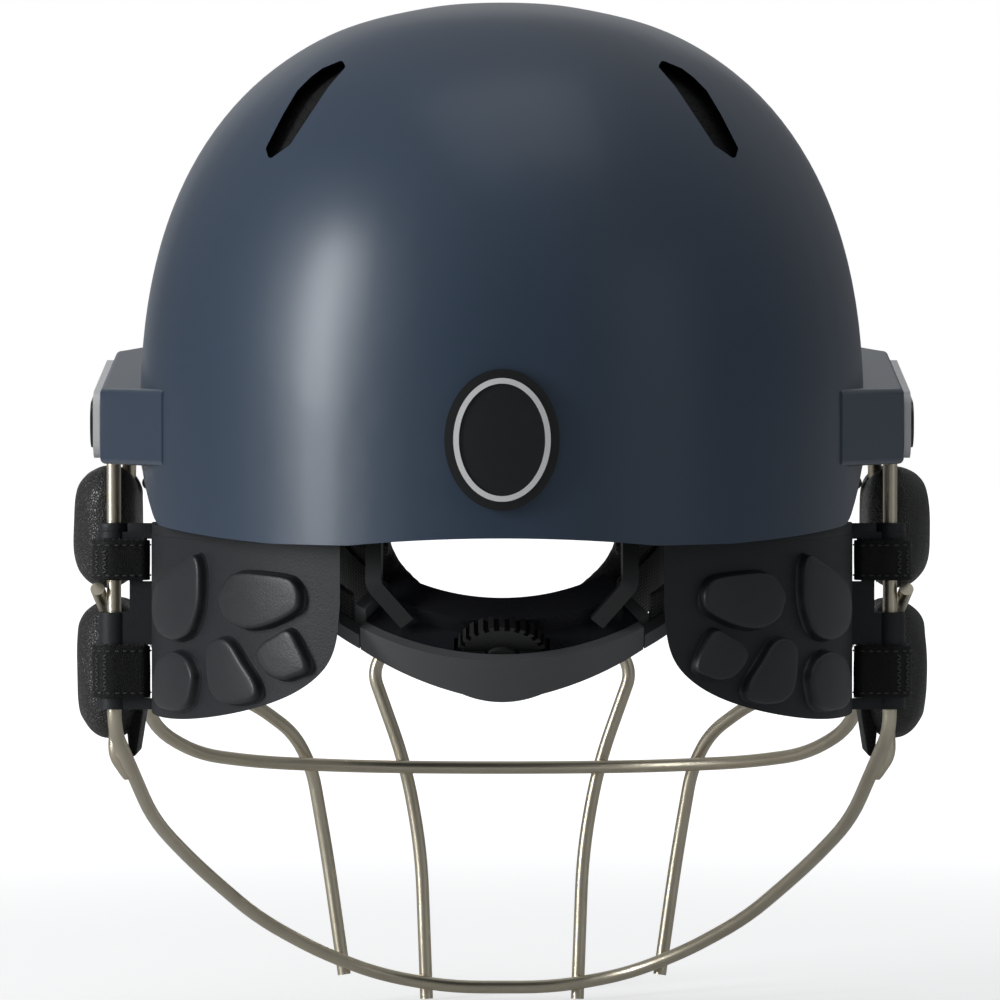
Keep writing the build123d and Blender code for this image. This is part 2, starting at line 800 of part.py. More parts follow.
def cradle_cover():
    """The glossy cover over the dial and the band channel."""
    half = housing_half_angle - arm_gap_angle
    back = cradle_radius - housing_depth
    step = cradle_radius - step_depth
    shelf_low = housing_top - housing_wall
    body = arc_bar(step - step_wall, cradle_radius - plate_wall - fit_gap, shelf_low, housing_top,
                   -half, half)
    body += arc_bar(step - step_wall, step, shelf_low, step_top, -half, half)
    body += arc_bar(back, step, step_top - step_wall, step_top, -half, half)
    body += arc_bar(back, back + housing_wall, housing_top + slide_fit, step_top, -half, half)
    dial_out = cradle_radius - dial_back
    dial_in = dial_out - dial_thick
    slot = block(-dial_radius - fit_gap * 2, dial_radius + fit_gap * 2,
                 -dial_out - fit_gap, -dial_in + fit_gap, shelf_low - overrun, step_top + overrun)
    slot = slot - block(-dial_radius * 2, dial_radius * 2, -step, 0,
                        housing_top, step_top + overrun)
    gear_room = extrude(dial_plane(-overrun) * Circle(pinion_pitch_radius + pinion_tip + fit_gap),
                        overrun + step_depth + 2 * step_wall)
    return body - [slot, gear_room]


def dial_plane(depth):
    """A plane square to the dial axis, at a depth behind the outer face."""
    return Plane(origin=(0, -cradle_radius + depth, 0), x_dir=(1, 0, 0), z_dir=(0, 1, 0))


def dial_bore(extra):
    """The bore for the dial's axle."""
    return extrude(dial_plane(-overrun) * Circle(axle_radius + extra),
                   housing_depth + 2 * overrun)


def dial():
    """The thumb wheel with its notched rim."""
    disc = Circle(dial_radius)
    for tooth in range(dial_teeth):
        turn = 360 * tooth / dial_teeth
        disc -= Rot(0, 0, turn) * Pos(dial_radius, 0) * Rectangle(dial_notch * 2,
                                                                 dial_notch_width)
    wheel = extrude(dial_plane(dial_back) * disc, dial_thick)
    return wheel - dial_bore(slide_fit)


def tooth_angle():
    """Turn from one pinion tooth to the next, in degrees."""
    return 360 / pinion_teeth


def pinion():
    """The small gear on the inner face of the dial."""
    tip = pinion_pitch_radius + pinion_tip
    root = pinion_pitch_radius - pinion_root
    pitch = 2 * math.pi * pinion_pitch_radius / pinion_teeth
    foot = pitch * pinion_tooth_share * pinion_foot_share
    crest = pitch * pinion_tooth_share * pinion_crest_share
    gear = Circle(root)
    for tooth in range(pinion_teeth):
        blade = make_face(Polyline((root / 2, -foot), (tip, -crest), (tip, crest),
                                   (root / 2, foot), close=True))
        gear += Rot(0, 0, tooth * tooth_angle()) * blade
    wheel = extrude(dial_plane(dial_back + dial_thick) * gear, pinion_length)
    return wheel - dial_bore(slide_fit)


def axle():
    """The pin that carries dial and pinion."""
    length = housing_depth - plate_wall - housing_wall - 2 * plate_gap
    return extrude(dial_plane(plate_wall + plate_gap) * Circle(axle_radius), length)


def washer():
    """The friction ring between the dial and the rear plate."""
    ring = Circle(washer_radius) - Circle(axle_radius + slide_fit)
    return extrude(dial_plane(dial_back - washer_thick - slide_fit) * ring, washer_thick)


def rack_gaps(side):
    """Tooth gaps along one tongue; side is 1 above the pinion and -1 below."""
    middle = tongue_outer - tongue_wall / 2
    pitch = 2 * math.pi * pinion_pitch_radius / pinion_teeth
    step = math.degrees(pitch / middle)
    tip = pinion_pitch_radius - pinion_tip
    root = pinion_pitch_radius + pinion_root
    gap_mouth = pitch * rack_mouth_share
    gap_floor = pitch * rack_floor_share
    mouth = side * (tip - fit_gap)
    floor = side * root
    face = make_face(Polyline((-gap_mouth, mouth), (gap_mouth, mouth), (gap_floor, floor),
                              (-gap_floor, floor), close=True))
    cutter = extrude(Plane.XZ * face, tongue_outer + overrun)
    cutters = []
    for gap in range(-rack_teeth, rack_teeth + 1):
        cutters.append(Rot(0, 0, gap * step) * cutter)
    return cutters


def band(side):
    """A band of the left or right arm: side 1 is the left, whose rack is above."""
    near = pinion_pitch_radius - pinion_tip
    tongue_span = (near, near + tongue_height) if side > 0 else (-near - tongue_height, -near)
    inner = tongue_outer - tongue_wall
    start = housing_half_angle + arm_gap_angle
    tongue = arc_bar(inner, tongue_outer, *tongue_span, -tongue_tail,
                     start + overrun_angle)
    low = min(arm_low, tongue_span[0])
    high = max(housing_top, tongue_span[1])
    link = arc_bar(inner, cradle_radius - arm_wall, low, high, start, start + arm_link_angle)
    arm = arc_bar(cradle_radius - arm_wall, cradle_radius, arm_low, housing_top - arm_drop,
                  start, arm_end_angle)
    body = tongue + link + arm
    for cutter in rack_gaps(side):
        body = body - cutter
    if side > 0:
        body = mirror(body, about=Plane.YZ)
    return body


def neck_pad():
    """The soft pad in front of the housing, lower in the middle."""
    outer = cradle_radius - housing_depth - fit_gap
    half = neck_pad_half_angle
    body = arc_bar(outer - neck_pad_thick, outer, neck_pad_low, neck_pad_high, -half, half)
    dip = Plane.XZ * Pos(0, neck_pad_high) * RectangleRounded(
        2 * neck_pad_dip_half, 2 * neck_pad_dip, neck_pad_dip_corner)
    return body - extrude(dip, cradle_radius)


def strut():
    """The left strut from the cover up to the liner."""
    foot_radius = cradle_radius - step_depth + strut_stand
    foot_y = -math.sqrt(foot_radius ** 2 - strut_foot_x ** 2)
    foot = cradle_frame().from_local_coords((-strut_foot_x, foot_y, housing_top + strut_seat))
    start = (foot.X, foot.Y, foot.Z)
    within = shell_radius - shell_wall - liner_gap - liner_thick
    top_y = -strut_depth - length_ratio * math.sqrt(within ** 2 - strut_x ** 2)
    top_z = rim_low + liner_rim_gap - strut_gap
    knee = (-strut_x, nape_y + strut_knee_inset, nape_z + strut_knee_rise)
    points = [start, knee, (-strut_x, top_y, top_z)]
    path = FilletPolyline(*points, radius=strut_bend)
    profile = Plane(origin=path @ 0, x_dir=(1, 0, 0), z_dir=path % 0)
    return sweep(profile * Rectangle(strut_width, strut_thick), path=path,
                 transition=Transition.RIGHT)


def main():
    """Build every piece and write it to parts."""
    os.makedirs("parts", exist_ok=True)
    save("shell", shell())
    save("rear_badge", badge())
    save("badge_border", badge_ring())
    save("impact_liner", liner())
    comfort_pads()

    chin_path = chin_wire_path()
    mid_path = wire_path(both_sides(grille_points(mid_shares)), {})
    brow_path = wire_path(both_sides(grille_points(brow_shares)), {})
    cheek_path = cheek_wire_path()
    inner_path = inner_wire_path()
    save("chin_wire", round_rod(chin_path, wire_radius))
    save("mid_wire", round_rod(mid_path, wire_radius))
    save("brow_wire", round_rod(brow_path, wire_radius))
    save("inner_wire", round_rod(inner_path, wire_radius))
    save_pair("cheek_wire", round_rod(cheek_path, wire_radius))
    chin_room = round_rod(chin_path, wire_radius + slide_fit)
    cheek_room = round_rod(cheek_path, wire_radius + slide_fit)

    save_pair("side_plate", side_plate())
    save_pair("plate_cap", plate_cap())
    save("plate_screws", plate_screws())
    save_pair("clamp_block", clamp_block(chin_room, cheek_room))

    save_pair("neck_guard", guard())
    save_pair("guard_cushions", pebbles())
    save_pair("upper_strap", strap(upper_strap_top, upper_strap_bottom))
    save_pair("lower_strap", strap(lower_strap_top, lower_strap_bottom))

    rods = [round_rod(path, wire_radius + wire_clearance) for path in (cheek_path, mid_path)]
    save_pair("upper_ear_pad", ear_pad(upper_ear_top, upper_ear_bottom, ear_outer_x, rods))
    save_pair("lower_ear_pad", ear_pad(lower_ear_top, lower_ear_bottom, lower_ear_outer_x, rods))

    save("cradle_housing", place_cradle(housing()))
    save("cradle_cover", place_cradle(cradle_cover()))
    save("dial", place_cradle(dial()))
    save("dial_pinion", place_cradle(pinion()))
    save("dial_axle", place_cradle(axle()))
    save("dial_washer", place_cradle(washer()))
    save("left_band", place_cradle(band(1)))
    save("right_band", place_cradle(band(-1)))
    save("neck_pad", place_cradle(neck_pad()))
    save_pair("cradle_strut", strut())


main()
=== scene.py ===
import json
import math
import random

import bmesh
import bpy
from mathutils import Matrix, Vector, noise

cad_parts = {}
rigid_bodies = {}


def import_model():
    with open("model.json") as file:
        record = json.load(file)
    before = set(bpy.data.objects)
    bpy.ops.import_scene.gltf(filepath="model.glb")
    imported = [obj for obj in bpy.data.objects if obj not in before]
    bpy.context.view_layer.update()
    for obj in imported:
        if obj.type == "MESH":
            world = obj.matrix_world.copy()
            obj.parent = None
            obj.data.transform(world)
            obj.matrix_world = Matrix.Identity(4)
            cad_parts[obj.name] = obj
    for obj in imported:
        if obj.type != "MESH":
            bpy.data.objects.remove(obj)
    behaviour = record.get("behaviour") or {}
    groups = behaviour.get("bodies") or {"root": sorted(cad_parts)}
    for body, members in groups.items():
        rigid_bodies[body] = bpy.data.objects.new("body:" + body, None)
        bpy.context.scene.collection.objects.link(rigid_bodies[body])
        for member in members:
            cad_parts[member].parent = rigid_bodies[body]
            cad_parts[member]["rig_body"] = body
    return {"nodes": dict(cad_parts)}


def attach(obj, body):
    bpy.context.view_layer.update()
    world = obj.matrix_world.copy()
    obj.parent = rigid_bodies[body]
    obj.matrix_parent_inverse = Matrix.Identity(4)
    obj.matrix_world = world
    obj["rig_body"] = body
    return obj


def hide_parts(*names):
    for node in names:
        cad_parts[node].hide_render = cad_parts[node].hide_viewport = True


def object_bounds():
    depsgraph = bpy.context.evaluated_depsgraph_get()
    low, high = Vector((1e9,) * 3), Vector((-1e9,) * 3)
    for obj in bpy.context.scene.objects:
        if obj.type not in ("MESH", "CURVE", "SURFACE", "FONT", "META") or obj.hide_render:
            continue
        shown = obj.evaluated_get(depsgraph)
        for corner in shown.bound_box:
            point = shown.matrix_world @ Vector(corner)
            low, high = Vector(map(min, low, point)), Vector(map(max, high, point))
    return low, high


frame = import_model()
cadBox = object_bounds()
scene = bpy.context.scene
nodes = frame["nodes"]
print("frame loaded:", len(nodes), "nodes")


# camera at the photograph's angle: behind the helmet, a little above the rim
cameraSet = {"eye": (0, -1.450, 0.052), "target": (0, 0, 0.008), "lens": 177.5, "shiftX": -0.002,
             "sensor": 36, "near": 0.05, "far": 40}


def addCamera(cfg):
    data = bpy.data.cameras.new("rearCamera")
    data.sensor_width = cfg["sensor"]
    data.lens = cfg["lens"]
    data.shift_x = cfg["shiftX"]
    data.clip_start = cfg["near"]
    data.clip_end = cfg["far"]
    camera = bpy.data.objects.new("rearCamera", data)
    scene.collection.objects.link(camera)
    camera.location = cfg["eye"]
    aim = Vector(cfg["target"]) - Vector(cfg["eye"])
    camera.rotation_euler = aim.to_track_quat("-Z", "Y").to_euler()
    scene.camera = camera


addCamera(cameraSet)
scene.view_settings.view_transform = "Standard"


# sums of shader values
class Value:
    # a number socket that can be used in ordinary sums
    def __init__(self, look, socket):
        self.look = look
        self.socket = socket

    def math(self, operation, a, b=None):
        given = {i: v for i, v in enumerate((a, b)) if v is not None}
        return self.look.node("Math", {"operation": operation}, given)

    def __add__(self, other):
        return self.math("ADD", self, other)

    def __radd__(self, other):
        return self.math("ADD", other, self)

    def __sub__(self, other):
        return self.math("SUBTRACT", self, other)

    def __rsub__(self, other):
        return self.math("SUBTRACT", other, self)

    def __mul__(self, other):
        return self.math("MULTIPLY", self, other)

    def __rmul__(self, other):
        return self.math("MULTIPLY", other, self)

    def sin(self):
        return self.math("SINE", self)

    def ramp(self, low, high):
        # 0 up to low, 1 from high on
        return self.look.node("MapRange", {"interpolation_type": "SMOOTHSTEP"},
                              {0: self, 1: low, 2: high, 3: 0.0, 4: 1.0})


class Look:
    # one material with a Principled shader
    def __init__(self, name, sockets):
        self.material = bpy.data.materials.new(name)
        self.material.use_nodes = True
        self.tree = self.material.node_tree
        self.shader = self.tree.nodes["Principled BSDF"]
        for socket, value in sockets.items():
            self.shader.inputs[socket].default_value = value

    def node(self, kind, settings, inputs, output=0):
        made = self.tree.nodes.new("ShaderNode" + kind)
        for key, value in settings.items():
            setattr(made, key, value)
        for key, value in inputs.items():
            if isinstance(value, Value):
                self.tree.links.new(value.socket, made.inputs[key])
            else:
                made.inputs[key].default_value = value
        return Value(self, made.outputs[output])

    def feed(self, socket, value):
        self.tree.links.new(value.socket, self.shader.inputs[socket])

    def place(self, turn=(0, 0, 0), size=(1, 1, 1)):
        # object coordinates, turned and stretched
        spot = self.node("TexCoord", {}, {}, "Object")
        return self.node("Mapping", {}, {"Vector": spot, "Rotation": turn, "Scale": size})

    def part(self, spot, axis):
        return self.node("SeparateXYZ", {}, {0: spot}, axis)

    def grain(self, spot, scale, detail=2.0, rough=0.5):
        return self.node("TexNoise", {}, {"Vector": spot, "Scale": scale, "Detail": detail,
                                          "Roughness": rough})

    def cells(self, spot, scale, feature="F1"):
        return self.node("TexVoronoi", {"feature": feature}, {"Vector": spot, "Scale": scale}, "Distance")

    def blend(self, mask, dark, light):
        return self.node("Mix", {"data_type": "RGBA"},
                         {"Factor": mask, 6: tint(dark), 7: tint(light)}, 2)

    def bump(self, height, distance, strength):
        return self.node("Bump", {}, {"Height": height, "Distance": distance, "Strength": strength})


def tint(colour):
    if isinstance(colour, Value):
        return colour
    return (*colour, 1.0)


# finishes
paintSet = {"deep": (0.0200, 0.0390, 0.0710), "pale": (0.0238, 0.0460, 0.0825), "roughness": 0.48,
            "gloss": 0.42, "tint": (0.80, 0.89, 1.0, 1.0), "lacquer": 0.80, "lacquerRoughness": 0.31}
wireSet = {"dull": (0.60, 0.545, 0.425), "bright": (0.82, 0.75, 0.595), "stain": (0.55, 0.50, 0.40),
           "roughness": 0.30}
guardSet = {"deep": (0.0148, 0.0172, 0.0202), "pale": (0.0212, 0.0248, 0.0288),
            "rubbed": (0.033, 0.036, 0.040), "roughness": 0.47}
leatherSet = {"deep": (0.0075, 0.0070, 0.0061), "pale": (0.0275, 0.0254, 0.0220), "roughness": 0.40}
strapSet = {"deep": (0.0016, 0.0016, 0.0018), "pale": (0.0050, 0.0050, 0.0055), "roughness": 0.58}


def satinPaint():
    look = Look("satinNavyPaint", {"Specular IOR Level": paintSet["gloss"],
                                   "Specular Tint": paintSet["tint"],
                                   "Coat Weight": paintSet["lacquer"],
                                   "Coat Roughness": paintSet["lacquerRoughness"]})
    spot = look.place()
    cloud = look.grain(spot, 14, 3)
    fleck = look.grain(spot, 2600, 1)
    look.feed("Base Color", look.blend(cloud, paintSet["deep"], paintSet["pale"]))
    look.feed("Roughness", paintSet["roughness"] - 0.03 + 0.05 * cloud + 0.03 * fleck)
    orange = look.grain(spot, 420, 2)
    look.feed("Normal", look.bump(orange * 0.7 + fleck * 0.3, 0.00006, 0.35))
    return look


def satinWire():
    look = Look("satinWire", {"Metallic": 1.0})
    spot = look.place()
    cloud = look.grain(spot, 60, 4)
    blast = look.grain(spot, 2400, 2)
    stain = look.grain(spot, 22, 2).ramp(0.58, 0.72)
    base = look.blend(cloud, wireSet["dull"], wireSet["bright"])
    look.feed("Base Color", look.blend(stain * 0.35, base, wireSet["stain"]))
    look.feed("Roughness", wireSet["roughness"] + 0.10 * blast + 0.06 * stain)
    look.feed("Normal", look.bump(blast, 0.00004, 0.6))
    return look


def mouldedGuard(name, roughness, grainDepth, gloss):
    # spark-eroded mould grain
    look = Look(name, {"Specular IOR Level": gloss})
    spot = look.place()
    cloud = look.grain(spot, 26, 3)
    pits = look.cells(spot, 1500)
    fine = look.grain(spot, 3200, 2)
    rub = look.grain(spot, 9, 4).ramp(0.52, 0.75)
    base = look.blend(cloud, guardSet["deep"], guardSet["pale"])
    look.feed("Base Color", look.blend(rub * 0.35, base, guardSet["rubbed"]))
    look.feed("Roughness", roughness + 0.08 * fine - 0.05 * rub)
    look.feed("Normal", look.bump(pits * 0.6 + fine * 0.4, grainDepth, 0.7))
    return look


def grainedLeather(name, cfg, cellScale, depth, gloss):
    look = Look(name, {"Specular IOR Level": gloss})
    spot = look.place()
    cells = look.cells(spot, cellScale, "F2")
    edge = look.cells(spot, cellScale, "DISTANCE_TO_EDGE").ramp(0.0, 0.22)
    folds = look.grain(spot, 90, 5, 0.6)
    worn = look.grain(spot, 30, 3).ramp(0.45, 0.70)
    # partly random tone, partly painted shade: the same noise raises the folds, so their hollows are darker
    # and their tops paler
    base = look.blend(folds, cfg["deep"], cfg["pale"])
    # painted shade: the grain's creases, where the bump sinks, are pulled towards the deep colour
    look.feed("Base Color", look.blend((1 - edge) * 0.6, base, cfg["deep"]))
    look.feed("Roughness", cfg["roughness"] - 0.14 * worn + 0.16 * (1 - edge))
    height = edge * 0.55 + cells * 0.2 + folds * 0.8
    look.feed("Normal", look.bump(height, depth, 0.9))
    return look


def knittedLining(name, deep, pale, turn=(0, 0, 0)):
    # small raised loops in staggered rows
    look = Look(name, {"Sheen Weight": 0.35, "Sheen Roughness": 0.5, "Specular IOR Level": 0.25})
    spot = look.place(turn)
    across = (look.part(spot, "X") * 3600).sin()
    along = (look.part(spot, "Z") * 4200 + across * 0.9).sin()
    deepWay = (look.part(spot, "Y") * 3600).sin()
    loops = (across * deepWay * 0.5 + along * 0.5) * 0.5 + 0.5
    fuzz = look.grain(spot, 1400, 3)
    cloud = look.grain(spot, 40, 3)
    # partly random fibre tone, partly painted shade and light: darker in the hollows between the loops,
    # paler on their raised tops, as the bump
    look.feed("Base Color", look.blend(loops * 0.6 + fuzz * 0.4, deep, pale))
    look.feed("Roughness", 0.72 + 0.2 * fuzz)
    look.feed("Normal", look.bump(loops * 0.7 + fuzz * 0.4 + cloud * 1.5, 0.00028, 0.9))
    return look


def beadedFoam():
    look = Look("beadedFoam", {"Specular IOR Level": 0.3})
    spot = look.place()
    beads = look.cells(spot, 340)
    cracks = look.cells(spot, 340, "DISTANCE_TO_EDGE").ramp(0.0, 0.08)
    fine = look.grain(spot, 1200, 2)
    # painted shade: the cracks between the beads, where the bump sinks, are darker
    look.feed("Base Color", look.blend(cracks, (0.0022, 0.0022, 0.0025), (0.0080, 0.0080, 0.0088)))
    look.feed("Roughness", 0.62 + 0.2 * fine)
    look.feed("Normal", look.bump(cracks * 0.7 - beads * 0.6, 0.0003, 0.8))
    return look


def plainMoulding(name, deep, pale, roughness, scale=900, depth=0.00005, coat=0.0, metal=0.0):
    look = Look(name, {"Coat Roughness": 0.12, "Metallic": metal})
    spot = look.place()
    cloud = look.grain(spot, 35, 3)
    fine = look.grain(spot, scale, 2)
    scuff = look.grain(look.place((0.3, 0.2, 0.5), (1, 6, 1)), 120, 3).ramp(0.6, 0.8)
    look.feed("Base Color", look.blend(cloud, deep, pale))
    look.feed("Roughness", roughness + 0.07 * fine + 0.08 * scuff)
    if coat:
        look.feed("Coat Weight", coat - 0.4 * coat * scuff)
    look.feed("Normal", look.bump(fine, depth, 0.5))
    return look


looks = {
    "paint": satinPaint(),
    "wire": satinWire(),
    "guard": mouldedGuard("mouldedGuard", guardSet["roughness"], 0.00010, 0.34),
    "cushion": mouldedGuard("satinCushion", 0.38, 0.00006, 0.5),
    "badge": plainMoulding("badgeMoulding", (0.004, 0.0045, 0.005), (0.007, 0.0075, 0.008), 0.40),
    "line": plainMoulding("whiteLine", (0.72, 0.72, 0.72), (0.80, 0.80, 0.80), 0.35),
    "plate": plainMoulding("whitePlate", (0.70, 0.70, 0.70), (0.80, 0.80, 0.79), 0.25),
    "cap": plainMoulding("darkCap", (0.010, 0.011, 0.013), (0.018, 0.019, 0.022), 0.28, coat=0.4),
    "screw": plainMoulding("zincScrew", (0.42, 0.42, 0.42), (0.55, 0.55, 0.55), 0.30, metal=1.0),
    "clamp": plainMoulding("clampMoulding", (0.010, 0.010, 0.011), (0.016, 0.016, 0.017), 0.5),
    "housing": plainMoulding("housingMoulding", (0.0800, 0.0805, 0.0830), (0.1000, 0.1010, 0.1040), 0.44,
                             1600, 0.00008),
    "gloss": plainMoulding("glossCover", (0.0150, 0.0155, 0.0190), (0.0195, 0.0200, 0.0240), 0.20,
                           coat=0.4),
    "strut": plainMoulding("strutMoulding", (0.012, 0.012, 0.013), (0.019, 0.019, 0.020), 0.42,
                           1600, 0.00008),
    "dial": plainMoulding("dialMoulding", (0.006, 0.006, 0.0065), (0.012, 0.012, 0.013), 0.38),
    "washer": plainMoulding("washerRubber", (0.008, 0.008, 0.008), (0.014, 0.014, 0.014), 0.8),
    "foam": beadedFoam(),
    "lining": knittedLining("knittedLining", (0.0018, 0.0018, 0.0020), (0.0105, 0.0105, 0.0115)),
    "neckLining": knittedLining("neckLining", (0.0020, 0.0018, 0.0018), (0.0110, 0.0102, 0.0098),
                                (math.radians(-46), 0, 0)),
    "padLeather": grainedLeather("padLeather", leatherSet, 1150, 0.00036, 0.75),
    "strapLeather": grainedLeather("strapLeather", strapSet, 1500, 0.00016, 0.35),
    "thread": plainMoulding("greyThread", (0.022, 0.022, 0.024), (0.060, 0.060, 0.063), 0.5, 5000),
    "fuzz": knittedLining("hookAndLoop", (0.0008, 0.0008, 0.0009), (0.012, 0.012, 0.012)),
}
print("finishes made:", len(looks))

cadFinish = {
    "shell": "paint", "rear_badge": "badge", "badge_border": "line", "impact_liner": "foam",
    "chin_wire": "wire", "mid_wire": "wire", "brow_wire": "wire", "inner_wire": "wire",
    "cheek_wire": "wire", "side_plate": "plate", "plate_cap": "cap", "plate_screws": "screw",
    "clamp_block": "clamp", "neck_guard": "guard", "guard_cushions": "cushion",
    "cradle_housing": "housing", "cradle_cover": "gloss", "dial": "dial", "dial_pinion": "dial",
    "dial_axle": "screw", "dial_washer": "washer", "band": "housing", "cradle_strut": "strut",
}


def plainName(name):
    # a node's name without its side
    return name.removeprefix("left_").removeprefix("right_")


for name, node in nodes.items():
    finish = cadFinish.get(plainName(name))
    if finish:
        for slot in node.material_slots:
            slot.material = looks[finish].material
print("frame nodes dressed")


# helpers for new pieces
def addPiece(name, bm, look, body):
    mesh = bpy.data.meshes.new(name)
    bm.normal_update()
    bm.to_mesh(mesh)
    bm.free()
    mesh.materials.append(looks[look].material)
    piece = bpy.data.objects.new(name, mesh)
    scene.collection.objects.link(piece)
    mesh.polygons.foreach_set("use_smooth", [True] * len(mesh.polygons))
    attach(piece, body)
    return piece


def evaluated(piece):
    return piece.evaluated_get(bpy.context.evaluated_depsgraph_get())


def applyModifiers(piece):
    shaped = bpy.data.meshes.new_from_object(evaluated(piece))
    piece.modifiers.clear()
    piece.data = shaped
    shaped.polygons.foreach_set("use_smooth", [True] * len(shaped.polygons))


def roundEdges(piece, width, segments=2):
    edge = piece.modifiers.new("edge", "BEVEL")
    edge.width = width
    edge.segments = segments
    edge.limit_method = "ANGLE"
    applyModifiers(piece)


def joinRings(bm, rings, closed=False):
    # side faces between rings of corners, with a face on each end unless the last ring meets the first
    after = rings[1:] + rings[:1] if closed else rings[1:]
    for one, two in zip(rings, after):
        for i in range(len(one)):
            bm.faces.new((one[i - 1], one[i], two[i], two[i - 1]))
    if not closed:
        bm.faces.new(rings[0])
        bm.faces.new(rings[-1])
    bmesh.ops.recalc_face_normals(bm, faces=bm.faces)


sides = (("left", -1), ("right", 1))


# pads: each starts from its frame node, is shrunk, remeshed, filled and smoothed
earPadSet = {"look": "padLeather", "slot": "pad_leather", "shrink": 0.0007, "voxel": 0.0022,
             "cap": 0.0014, "fill": 0.85, "crease": 0.0007, "scale": 70}
innerPadSet = {"look": "lining", "slot": "pad_fabric", "shrink": 0.0010, "voxel": 0.0026,
               "cap": 0.0016, "fill": 0.6, "crease": 0.0004, "scale": 60}
padSets = {
    "upper_ear_pad": earPadSet,
    "lower_ear_pad": earPadSet,
    "temple_pad": innerPadSet,
    "crown_pad": {**innerPadSet, "voxel": 0.0030},
    "brow_pad": {**innerPadSet, "voxel": 0.0028},
    "rear_pad": innerPadSet,
    "neck_pad": {"look": "neckLining", "slot": "pad_fabric", "shrink": 0.0006, "voxel": 0.0020,
                 "cap": 0.0010, "fill": 0.7, "crease": 0.0004, "scale": 80},
}
clothSet = {"scale": 10.0, "quality": 5, "mass": 0.3, "stretch": 12, "bend": 0.6, "pressure": 4,
            "frames": 20}
weldGap = 0.00002
smoothPasses = 3


def fillWithCloth(piece, cap, cfg):
    # the pad is blown up ten times larger, so that the cloth's own units suit it
    rest = [v.co.copy() for v in piece.data.vertices]
    for v in piece.data.vertices:
        v.co *= cfg["scale"]
    cloth = piece.modifiers.new("filling", "CLOTH")
    cloth.settings.quality = cfg["quality"]
    cloth.settings.mass = cfg["mass"]
    cloth.settings.tension_stiffness = cloth.settings.compression_stiffness = cfg["stretch"]
    cloth.settings.bending_stiffness = cfg["bend"]
    cloth.settings.use_pressure = True
    cloth.settings.uniform_pressure_force = cfg["pressure"]
    cloth.settings.effector_weights.gravity = 0
    cloth.point_cache.frame_start = 1
    cloth.point_cache.frame_end = cfg["frames"]
    for step in range(cfg["frames"]):
        scene.frame_set(step + 1)
    moved = [v.co / cfg["scale"] for v in evaluated(piece).to_mesh().vertices]
    piece.modifiers.clear()
    for v, start, end in zip(piece.data.vertices, rest, moved):
        move = end - start
        if move.length > cap:
            move = move * (cap / move.length)
        v.co = start + move
    scene.frame_set(1)


def makePad(nodeName, cfg):
    source = nodes[nodeName]
    bm = bmesh.new()
    bm.from_mesh(source.data)
    bmesh.ops.remove_doubles(bm, verts=bm.verts, dist=weldGap)
    bm.normal_update()
    for v in bm.verts:
        v.co -= v.normal * cfg["shrink"]
    piece = addPiece(nodeName + "_soft", bm, cfg["look"], source["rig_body"])
    remesh = piece.modifiers.new("even", "REMESH")
    remesh.mode = "VOXEL"
    remesh.voxel_size = cfg["voxel"]
    applyModifiers(piece)
    fillWithCloth(piece, cfg["cap"], clothSet)
    bm = bmesh.new()
    bm.from_mesh(piece.data)
    for count in range(smoothPasses):
        bmesh.ops.smooth_vert(bm, verts=bm.verts, factor=0.5, use_axis_x=True, use_axis_y=True,
                              use_axis_z=True)
    bm.normal_update()
    for v in bm.verts:
        v.co += v.normal * cfg["crease"] * noise.noise(v.co * cfg["scale"])
    bm.to_mesh(piece.data)
    bm.free()
    smooth = piece.modifiers.new("smooth", "SUBSURF")
    smooth.levels = smooth.render_levels = 1
    applyModifiers(piece)
    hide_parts(nodeName)


for nodeName in sorted(nodes):
    if plainName(nodeName) in padSets:
        makePad(nodeName, padSets[plainName(nodeName)])
        print("pad made:", nodeName)


# leather straps round the rear bars
strapShape = {
    "barX": 0.1142, "endX": 0.1064, "endY": -0.00245, "barRadius": 0.0050, "endRadius": 0.0016,
    "thick": 0.00150, "gridAlong": 150, "gridUp": 8, "weldGap": 0.00003, "topRow": 0.99,
    "wave": 0.00012, "waveScale": (260, 200), "leatherSeed": 3, "pileSeed": 7,
    "sunk": 0.0001, "leatherShare": 0.62, "edge": 0.00032,
    "pileLift": 0.36, "pileShare": 0.3, "pileLow": 0.0003, "pileHigh": 0.0001, "jag": 0.0007,
    "stitchLong": 0.0016, "stitchWide": 0.00055, "stitchFlat": 0.8, "stitchGap": 0.0023,
    "stitchStep": 0.0005, "edgeInset": 0.0014, "columns": (0.76, 0.88), "columnGap": 0.0010,
    "slant": 0.55}
strapHeights = {"upper": (-0.0037, -0.0154), "lower": (-0.0348, -0.0499)}


